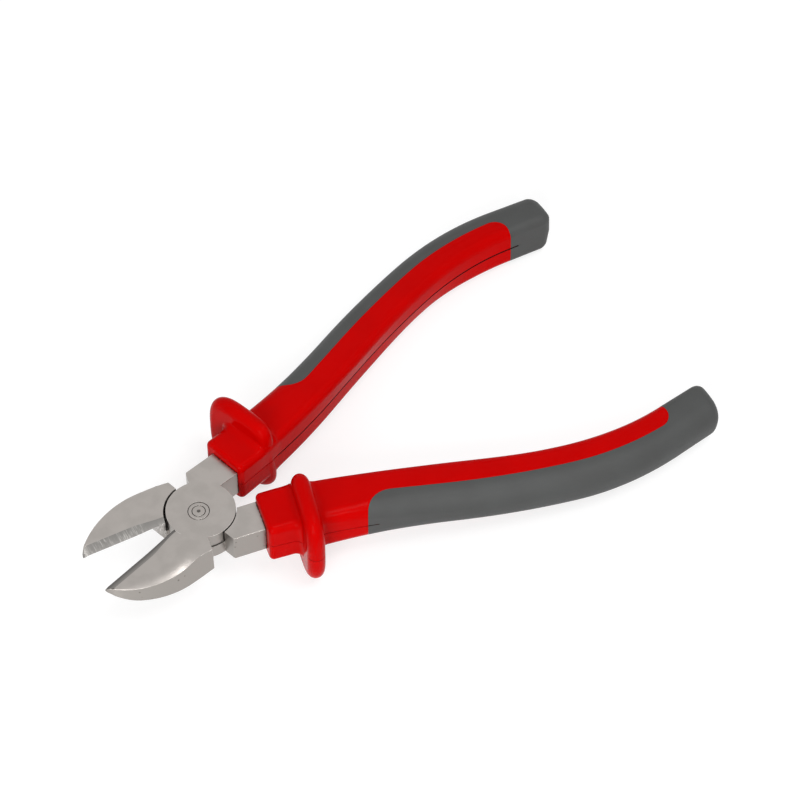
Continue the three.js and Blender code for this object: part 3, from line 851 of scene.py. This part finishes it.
def grip_region(handle, margin):
    """The space of the soft grip: the outer half and the end of the handle, grown by a margin."""
    start = GRIP_START[handle] - margin
    panel_end = RED_PANEL_END - margin
    seam_level = SEAM_SHIFT - margin
    start_corner = GRIP_START_CORNER + margin
    end_corner = PANEL_END_CORNER - margin
    side = HANDLE_WIDTH / 2 + CUT_OVERRUN
    half = HANDLE_HEIGHT / 2 + CUT_OVERRUN
    near = quarter(start + start_corner, seam_level + start_corner, start_corner, math.pi)
    drop = SEAM_END_DROP[handle]
    far = quarter(panel_end - end_corner, seam_level - drop - end_corner, end_corner, 0.0)[::-1]
    seam = []
    for distance in evenly(near[-1][0], far[0][0], HANDLE_STEP)[1:-1]:
        seam.append((distance, seam_level - drop * smooth(distance, SEAM_DROP_START, far[0][0])))
    limit = [*map(tuple, near), *seam, *map(tuple, far), (panel_end + PANEL_DRAFT, -side)]
    past_panel = evenly(panel_end + PANEL_END_RUN, HANDLE_LENGTH + CUT_OVERRUN, HANDLE_STEP)
    limit += [(distance, -side) for distance in past_panel]
    sections = []
    for distance, inner in limit:
        outline = [(side, -half), (side, half), (inner, half), (inner, -half)]
        sections.append(section_at(distance, outline))
    return loft("region", sections)


def sleeve(side):
    region = grip_region(side, SEAM_GAP)
    rebate = boolean(region, handle_body(GRIP_SKIN + SEAM_GAP, side), "DIFFERENCE")
    body = boolean(handle_body(0.0, side), rebate, "DIFFERENCE")
    boolean(body, guard(), "UNION")
    return boolean(body, tang(POCKET_GAP), "DIFFERENCE")


def grip(side):
    body = boolean(handle_body(0.0, side), grip_region(side, 0.0), "INTERSECT")
    return boolean(body, handle_body(GRIP_SKIN, side), "DIFFERENCE")


# Shader nodes


def new_material(name):
    material = bpy.data.materials.new(name)
    material.use_nodes = True
    tree = material.node_tree
    return material, tree, tree.nodes["Principled BSDF"]


def fill(tree, node, sockets):
    """Links each socket to another node's output, or sets it to a plain value."""
    for key, value in sockets.items():
        if isinstance(value, bpy.types.NodeSocket):
            tree.links.new(value, node.inputs[key])
        else:
            node.inputs[key].default_value = value


def add_node(tree, kind, sockets):
    made = tree.nodes.new(kind)
    fill(tree, made, sockets)
    return made


def millimetres(tree, stretch=(1.0, 1.0, 1.0), turn=0.0):
    """Object coordinates in millimetres, turned and stretched."""
    source = tree.nodes.new("ShaderNodeTexCoord")
    mapping = add_node(tree, "ShaderNodeMapping", {
        "Vector": source.outputs["Object"],
        "Rotation": (0.0, 0.0, math.radians(turn)),
        "Scale": [factor / MM for factor in stretch],
    })
    return mapping.outputs["Vector"]


def coordinates(tree, vector):
    return add_node(tree, "ShaderNodeSeparateXYZ", {"Vector": vector}).outputs


def noise(tree, vector, scale=1.0, detail=NOISE_DETAIL):
    made = add_node(tree, "ShaderNodeTexNoise", {"Vector": vector, "Scale": scale, "Detail": detail})
    return made.outputs["Fac"]


def ranged(tree, value, source, target=(0.0, 1.0)):
    """A value taken smoothly from one range to another."""
    made = add_node(tree, "ShaderNodeMapRange", {
        "Value": value,
        "From Min": source[0],
        "From Max": source[1],
        "To Min": target[0],
        "To Max": target[1],
    })
    made.interpolation_type = "SMOOTHSTEP"
    return made.outputs["Result"]


def faded(tree, value, source):
    """1 before a range and 0 past it."""
    return ranged(tree, value, source, (1.0, 0.0))


def math_node(tree, operation, first, second=0.0):
    made = add_node(tree, "ShaderNodeMath", {0: first, 1: second})
    made.operation = operation
    return made.outputs["Value"]


def product(tree, first, *others):
    for other in others:
        first = math_node(tree, "MULTIPLY", first, other)
    return first


def total(tree, first, *others):
    for other in others:
        first = math_node(tree, "ADD", first, other)
    return first


def vector_value(tree, operation, *vectors):
    made = add_node(tree, "ShaderNodeVectorMath", dict(enumerate(vectors)))
    made.operation = operation
    return made.outputs["Value"]


def mixed(tree, share, first, second):
    made = tree.nodes.new("ShaderNodeMix")
    made.data_type = "RGBA"
    ends = [index for index, socket in enumerate(made.inputs) if socket.type == "RGBA"]
    colours = [(*colour, 1.0) if isinstance(colour, tuple) else colour for colour in (first, second)]
    fill(tree, made, {"Factor": share, **dict(zip(ends, colours))})
    return next(socket for socket in made.outputs if socket.type == "RGBA")


def eased_normal(tree, radius):
    """The normal of a surface whose edges are rounded by a small radius."""
    made = add_node(tree, "ShaderNodeBevel", {"Radius": radius * MM})
    made.samples = EASING_SAMPLES
    return made.outputs["Normal"]


def true_normal(tree):
    return tree.nodes.new("ShaderNodeNewGeometry").outputs["True Normal"]


def bumped(tree, height, distance, easing=0.0):
    """The normal of a relief, over edges that are eased where a radius is given."""
    bump = add_node(tree, "ShaderNodeBump", {"Height": height, "Distance": distance * MM})
    if easing > 0:
        fill(tree, bump, {"Normal": eased_normal(tree, easing)})
    return bump.outputs["Normal"]


# Materials


def pit_spots(tree, vector):
    """Small spots in some of the cells of a cell pattern."""
    cells = add_node(tree, "ShaderNodeTexVoronoi", {"Vector": vector, "Scale": PIT_SCALE})
    chance = add_node(tree, "ShaderNodeSeparateColor", {"Color": cells.outputs["Color"]})
    chosen = math_node(tree, "GREATER_THAN", chance.outputs["Red"], PIT_CHANCE)
    return product(tree, chosen, faded(tree, cells.outputs["Distance"], PIT_RANGE))


def upright_walls(tree):
    height = coordinates(tree, true_normal(tree))["Z"]
    return faded(tree, math_node(tree, "ABSOLUTE", height), UPRIGHT_RANGE)


def mouth_residue(tree, vector):
    """Patches of dark residue on the necks, close to the sleeves' mouths."""
    slope = math.radians(HANDLE_START_SLOPE + JAW_OPENING / 2)
    start = math.radians(HANDLE_START_SLOPE)
    mouth = HANDLE_START_X * math.cos(start) + HANDLE_START_Y * math.sin(start)
    position = coordinates(tree, vector)
    along = product(tree, position["X"], math.cos(slope))
    sideways = product(tree, math_node(tree, "ABSOLUTE", position["Y"]), math.sin(slope))
    in_front = math_node(tree, "LESS_THAN", position["Y"], 0.0)
    lead = product(tree, in_front, SLEEVE_MOUTH_LEAD[FRONT_BODY])
    ragged = product(tree, noise(tree, vector, RESIDUE_SCALE, FINE_DETAIL), RESIDUE_REACH)
    reach = total(tree, along, sideways, lead, ragged)
    return ranged(tree, reach, [mouth + limit for limit in RESIDUE_RANGE])


def edge_wear_highlight(tree, vector):
    """Ragged bright wear and painted highlight where the eased normal leaves the true one, but not close to
    the pivot.
    """
    likeness = vector_value(tree, "DOT_PRODUCT", eased_normal(tree, WEAR_HIGHLIGHT_REACH), true_normal(tree))
    exposed = faded(tree, likeness, WEAR_HIGHLIGHT_LIKENESS)
    patches = ranged(tree, noise(tree, vector, WEAR_HIGHLIGHT_SCALE, FINE_DETAIL), WEAR_HIGHLIGHT_RANGE)
    from_pivot = vector_value(tree, "LENGTH", millimetres(tree, (1.0, 1.0, 0.0)))
    beyond = ranged(tree, from_pivot, (WEAR_HIGHLIGHT_START, WEAR_HIGHLIGHT_START + WEAR_HIGHLIGHT_FADE))
    return product(tree, exposed, patches, beyond)


def steel_material(name, colour, shade):
    """Satin steel: clouded tone, fine brushing, pitted walls painted darker as shade, worn edges with a
    painted highlight, and residue at the sleeves.
    """
    material, tree, shader = new_material(name)
    plain = millimetres(tree)
    upright = upright_walls(tree)
    pits = product(tree, pit_spots(tree, plain), upright)
    tone = mixed(tree, ranged(tree, noise(tree, plain, CLOUD_SCALE), NOISE_CORE), colour, shade)
    # Upright walls painted darker: painted shade.
    tone = mixed(tree, upright, tone, STEEL_WALL_SHADE)
    # Edges lightened for wear and a painted highlight.
    tone = mixed(tree, edge_wear_highlight(tree, plain), tone, WORN_HIGHLIGHT_COLOUR)
    tone = mixed(tree, pits, tone, PIT_COLOUR)
    tone = mixed(tree, mouth_residue(tree, plain), tone, RESIDUE_COLOUR)
    brushing = noise(tree, millimetres(tree, BRUSHING_STRETCH), detail=FINE_DETAIL)
    relief = math_node(tree, "SUBTRACT", brushing, product(tree, pits, PIT_RELIEF))
    fill(tree, shader, {
        "Base Color": tone,
        "Roughness": ranged(tree, brushing, BRUSHING_RANGE, STEEL_ROUGHNESS),
        "Normal": bumped(tree, relief, STEEL_RELIEF, STEEL_EASING),
        "Metallic": 1.0,
    })
    return material


def ground_material(name):
    """A cutting bevel with grinding marks across the edge on a band painted darker as shade."""
    material, tree, shader = new_material(name)
    plain = millimetres(tree)
    marks = noise(tree, millimetres(tree, GROUND_STRETCH), detail=MARKS_DETAIL)
    patches = noise(tree, plain, GROUND_PATCH_SCALE, COARSE_DETAIL)
    along = coordinates(tree, plain)["X"]
    marked = product(
        tree,
        ranged(tree, marks, GROUND_RANGE),
        ranged(tree, patches, GROUND_PATCH_RANGE),
        ranged(tree, along, (-MARKS_END, MARKS_FADE - MARKS_END)),
        faded(tree, along, (-MARKS_START - MARKS_FADE, -MARKS_START)))
    fill(tree, shader, {
        "Base Color": mixed(tree, marked, GROUND_BAND_SHADE, GROUND_LIGHT),
        "Roughness": ranged(tree, marks, NOISE_RANGE, GROUND_ROUGHNESS),
        "Normal": bumped(tree, marks, GROUND_RELIEF, BEVEL_EASING),
        "Metallic": 1.0,
    })
    return material


def shaded_honed_material(name):
    """A finer cutting bevel, painted dark as shade, darkest towards its edge."""
    material, tree, shader = new_material(name)
    marks = noise(tree, millimetres(tree, HONED_STRETCH), detail=MARKS_DETAIL)
    across = coordinates(tree, millimetres(tree, turn=-JAW_OPENING / 2))["Y"]
    depth = math_node(tree, "SUBTRACT", across, product(tree, marks, HONED_UNEVENNESS))
    bevel_back = -BEVEL_WIDTH[FRONT_JAW] - HONED_UNEVENNESS
    # Painted shade, darkening towards the cutting edge.
    shade_to_edge = ranged(tree, depth, (bevel_back, -EDGE_OFFSET[FRONT_JAW]))
    fill(tree, shader, {
        "Base Color": mixed(tree, shade_to_edge, HONED_BACK_SHADE, HONED_EDGE_SHADE),
        "Roughness": ranged(tree, marks, NOISE_RANGE, HONED_ROUGHNESS),
        "Normal": bumped(tree, marks, HONED_RELIEF, BEVEL_EASING),
        "Metallic": 1.0,
    })
    return material


def joint_shade_material(name):
    """Oiled steel inside the lap joint and the pin's gaps, painted dark as shade."""
    material, tree, shader = new_material(name)
    stain = noise(tree, millimetres(tree), STAIN_SCALE)
    fill(tree, shader, {
        "Base Color": mixed(tree, stain, JOINT_SHADE_COLOUR, PIT_COLOUR),
        "Roughness": ranged(tree, stain, NOISE_RANGE, STAIN_ROUGHNESS),
        "Metallic": JOINT_METALLIC,
    })
    return material


def red_material(name):
    """Glossy moulded plastic with slight waviness."""
    material, tree, shader = new_material(name)
    plain = millimetres(tree)
    tone = ranged(tree, noise(tree, plain, RED_TONE_SCALE, COARSE_DETAIL), NOISE_RANGE)
    waviness = noise(tree, plain, RED_WAVE_SCALE, COARSE_DETAIL)
    fill(tree, shader, {
        "Base Color": mixed(tree, tone, RED_COLOUR, RED_SHADE),
        "Roughness": ranged(tree, noise(tree, plain, RED_GLOSS_SCALE), NOISE_RANGE, RED_ROUGHNESS),
        "Normal": bumped(tree, waviness, RED_RELIEF),
        "Specular IOR Level": RED_SPECULAR,
    })
    return material


def crease_shade_material(name, dark, light):
    """Painted shade in the mould's parting line, uneven along it."""
    material, tree, shader = new_material(name)
    crease_shading = noise(tree, millimetres(tree), CREASE_SHADE_SCALE)
    fill(tree, shader, {
        "Base Color": mixed(tree, ranged(tree, crease_shading, NOISE_CORE), dark, light),
        "Roughness": ranged(tree, crease_shading, NOISE_RANGE, CREASE_SHADE_ROUGHNESS),
        "Specular IOR Level": CREASE_SHADE_SPECULAR,
    })
    return material


def grey_material(name):
    """Matte soft overmould with a fine grain."""
    material, tree, shader = new_material(name)
    plain = millimetres(tree)
    tone = ranged(tree, noise(tree, plain, GREY_TONE_SCALE), NOISE_RANGE)
    grain = noise(tree, plain, GREY_GRAIN_SCALE, FINE_DETAIL)
    fill(tree, shader, {
        "Base Color": mixed(tree, tone, GREY_COLOUR, GREY_SHADE),
        "Roughness": ranged(tree, grain, NOISE_RANGE, GREY_ROUGHNESS),
        "Normal": bumped(tree, grain, GREY_RELIEF),
        "Specular IOR Level": GREY_SPECULAR,
    })
    return material


def seen_directly(tree):
    """1 for what the camera, a reflection or a glass shows, 0 for the light that reaches matte surfaces."""
    rays = tree.nodes.new("ShaderNodeLightPath").outputs
    mirrored = math_node(tree, "MAXIMUM", rays["Is Glossy Ray"], rays["Is Transmission Ray"])
    return math_node(tree, "MAXIMUM", rays["Is Camera Ray"], mirrored)


def floor_material(name):
    """Pale floor that the camera and the reflections see as white, with the object's shadow on it."""
    material, tree, shader = new_material(name)
    plain = millimetres(tree)
    seen = seen_directly(tree)
    speckle = noise(tree, plain, FLOOR_SPECKLE_SCALE, COARSE_DETAIL)
    pale = mixed(tree, speckle, FLOOR_COLOUR, FLOOR_SHADE)
    glow = ranged(tree, vector_value(tree, "LENGTH", plain), FLOOR_GLOW_REACH, FLOOR_GLOW)
    fill(tree, shader, {
        "Base Color": mixed(tree, seen, pale, FLOOR_SEEN),
        "Roughness": FLOOR_ROUGHNESS,
        "Specular IOR Level": 0.0,
        "Emission Color": WHITE,
        "Emission Strength": product(tree, seen, glow),
    })
    return material


# Pieces


def finished(piece, name, materials, node, body):
    """Names a piece, fills its material slots, the empty ones first, and puts it in its place."""
    piece.name = name
    slots = piece.data.materials
    for index, material in enumerate(materials):
        if index < len(slots):
            slots[index] = material
        else:
            slots.append(material)
    place(piece, node, body)


def build_head():
    satin = steel_material("lever_steel", STEEL_COLOUR, STEEL_SHADE)
    # Oiled steel painted dark as shade, for the joint's gaps and the pin's sides.
    oiled_and_shaded = joint_shade_material("joint_steel_shade")
    rear_steels = [satin, ground_material("marked_bevel"), oiled_and_shaded]
    front_steels = [satin, shaded_honed_material("honed_bevel_shade"), oiled_and_shaded]
    pin_steels = [steel_material("rivet_steel", STEEL_SHADE, STEEL_COLOUR), oiled_and_shaded]
    front = lever(FRONT_JAW, front_steels)
    finished(front, "front_jaw_forging", front_steels, "front_jaw_lever", REAR_BODY)
    rear = lever(REAR_JAW, rear_steels)
    finished(rear, "rear_jaw_forging", rear_steels, "rear_jaw_lever", FRONT_BODY)
    finished(pivot_rivet(), "flush_rivet", pin_steels, "pivot_rivet", FRONT_BODY)
    finished(rivet_collar(), "flush_collar", pin_steels, "rivet_collar", FRONT_BODY)


def build_handles():
    # The parting grooves get painted shade: dark past the guard and on the grips, fainter on the rest of the
    # sleeves.
    crease_shading = crease_shade_material("parting_shade", PARTING_SHADE_DARK, PARTING_SHADE_RED)
    reds = [red_material("red_sleeve"), crease_shading, crease_shade_material("parting_line_shade", CREASE_SHADE_DARK, CREASE_SHADE_RED)]
    greys = [grey_material("grey_grip"), crease_shading, crease_shading]
    for side, body in (("rear", REAR_BODY), ("front", FRONT_BODY)):
        finished(sleeve(body), f"{side}_red_sleeve", reds, f"{side}_handle_sleeve", body)
        finished(grip(body), f"{side}_grey_grip", greys, f"{side}_handle_grip", body)


# Stage


def resting_slope():
    """Slope of the surface that the guards and the handle ends rest on, and its height at the pivot."""
    names = [f"{side}_{part}" for part in ("red_sleeve", "grey_grip") for side in ("rear", "front")]
    points = np.array([vertex.co for name in names for vertex in bpy.data.objects[name].data.vertices])
    x, z = points[:, 0], points[:, 2]
    middle = (x.min() + x.max()) / 2
    front, rear = x < middle, x >= middle
    slope = 0.0
    for _ in range(SLOPE_ROUNDS):
        guard_low = np.argmin(np.where(front, z - slope * x, np.inf))
        slope = np.min((z[rear] - z[guard_low]) / (x[rear] - x[guard_low]))
    return slope, z[guard_low] - slope * x[guard_low]


def build_floor():
    slope, height = resting_slope()
    half = FLOOR_SIZE / 2 * MM
    corners = [(-half, -half, 0), (half, -half, 0), (half, half, 0), (-half, half, 0)]
    floor = mesh_object("floor", corners, [(0, 1, 2, 3)])
    floor.data.materials.append(floor_material("pale_floor"))
    lowered = Matrix.Translation((0, 0, height - FLOOR_GAP * MM))
    floor.matrix_world = lowered @ Matrix.Rotation(-math.atan(slope), 4, "Y")


def add_object(name, data, matrix):
    made = bpy.data.objects.new(name, data)
    bpy.context.scene.collection.objects.link(made)
    made.matrix_world = matrix
    return made


def view_axes():
    azimuth, elevation, roll = map(math.radians, (CAMERA_AZIMUTH, CAMERA_ELEVATION, CAMERA_ROLL))
    cos = math.cos(elevation)
    back = Vector((math.sin(azimuth) * cos, -math.cos(azimuth) * cos, math.sin(elevation)))
    level = Vector((math.cos(azimuth), math.sin(azimuth), 0.0))
    upright = back.cross(level)
    right = math.cos(roll) * level + math.sin(roll) * upright
    up = math.cos(roll) * upright - math.sin(roll) * level
    return right, up, back


def build_camera():
    right, up, back = view_axes()
    data = bpy.data.cameras.new("camera")
    data.sensor_width = SENSOR_WIDTH
    data.lens = FOCAL_PIXELS / IMAGE_SIZE * SENSOR_WIDTH
    data.clip_start = CLIP_START * MM
    data.clip_end = CLIP_END * MM
    turn = Matrix((right, up, back)).transposed().to_4x4()
    eye = (Vector(CAMERA_AIM) + CAMERA_DISTANCE * back) * MM
    bpy.context.scene.camera = add_object("camera", data, Matrix.Translation(eye) @ turn)


def build_world():
    """A bright panel behind and above, and dimmer light all round; the camera sees plain white."""
    world = bpy.data.worlds.new("studio")
    bpy.context.scene.world = world
    world.use_nodes = True
    tree = world.node_tree
    direction = tree.nodes.new("ShaderNodeTexCoord").outputs["Generated"]
    facing = vector_value(tree, "DOT_PRODUCT", direction, BACKLIGHT_DIRECTION)
    strength = ranged(tree, facing, BACKLIGHT_SPREAD, SIDE_TO_BACKLIGHT)
    fill(tree, tree.nodes["Background"], {
        "Color": WHITE,
        "Strength": math_node(tree, "MAXIMUM", strength, seen_directly(tree)),
    })


def add_lamp(name, azimuth, elevation, distance, size, power):
    """A round soft lamp that faces the middle of the object."""
    azimuth, elevation = math.radians(azimuth), math.radians(elevation)
    cos = math.cos(elevation)
    towards = Vector((math.cos(azimuth) * cos, math.sin(azimuth) * cos, math.sin(elevation)))
    data = bpy.data.lights.new(name, "AREA")
    data.shape = "DISK"
    data.size = size * MM
    data.energy = power
    place_at = Matrix.Translation((Vector(CAMERA_AIM) + distance * towards) * MM)
    add_object(name, data, place_at @ towards.to_track_quat("Z", "Y").to_matrix().to_4x4())


build_head()
build_handles()
build_floor()
build_camera()
build_world()
for lamp_name, lamp in LAMPS.items():
    add_lamp(lamp_name, **lamp)
bpy.context.scene.view_settings.view_transform = "Standard"
